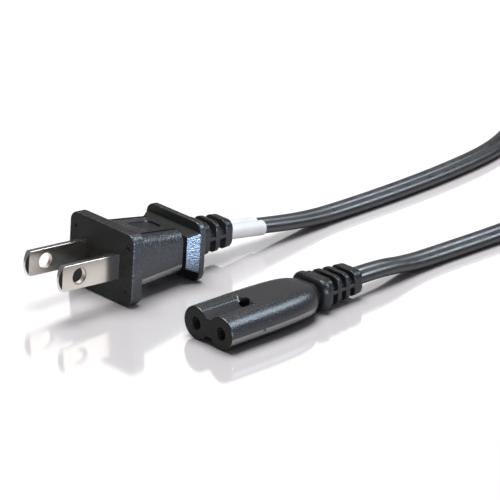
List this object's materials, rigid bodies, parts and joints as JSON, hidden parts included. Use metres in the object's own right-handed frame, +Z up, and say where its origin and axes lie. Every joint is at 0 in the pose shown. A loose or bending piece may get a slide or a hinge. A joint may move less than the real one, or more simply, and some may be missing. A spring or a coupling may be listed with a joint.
{
  "type": "figure eight power connector",
  "caption": "Moulded figure-eight mains connector with round sockets and a slotted strain relief, on a flat twin cord that ends in a flat-blade plug.",
  "frame": {"origin": "below the middle of the connector, on the surface that it and its cord and plug rest on", "axes": "+X along the connector from its nose to its cord, +Y towards the plug, +Z up"},
  "size_m": [0.2529, 0.0817, 0.0186],
  "materials": {
    "black_moulding": "satin, fine moulded grain",
    "insert_plastic": "matte",
    "contact_metal": "tinned",
    "core_insulation": "satin",
    "copper": "bright",
    "blade_metal": "nickel plated, satin",
    "white_sleeve": "matte",
    "cord_jacket": "semi-gloss",
    "tie_plastic": "matte"
  },
  "bodies": {
    "root": {"connector_shell": "black_moulding", "contact_carrier": "insert_plastic", "socket_contact_left": "contact_metal", "socket_contact_right": "contact_metal", "connector_core_left": "core_insulation", "connector_core_right": "core_insulation", "connector_strands_left": "copper", "connector_strands_right": "copper", "plug_shell": "black_moulding", "blade_bridge": "insert_plastic", "blade_left": "blade_metal", "blade_right": "blade_metal", "plug_core_left": "core_insulation", "plug_core_right": "core_insulation", "plug_strands_left": "copper", "plug_strands_right": "copper", "marker_sleeve": "white_sleeve", "cord_at_connector": "cord_jacket", "cord_at_plug": "cord_jacket", "cord_coil": "cord_jacket", "coil_tie": "tie_plastic"}
  },
  "joints": []
}
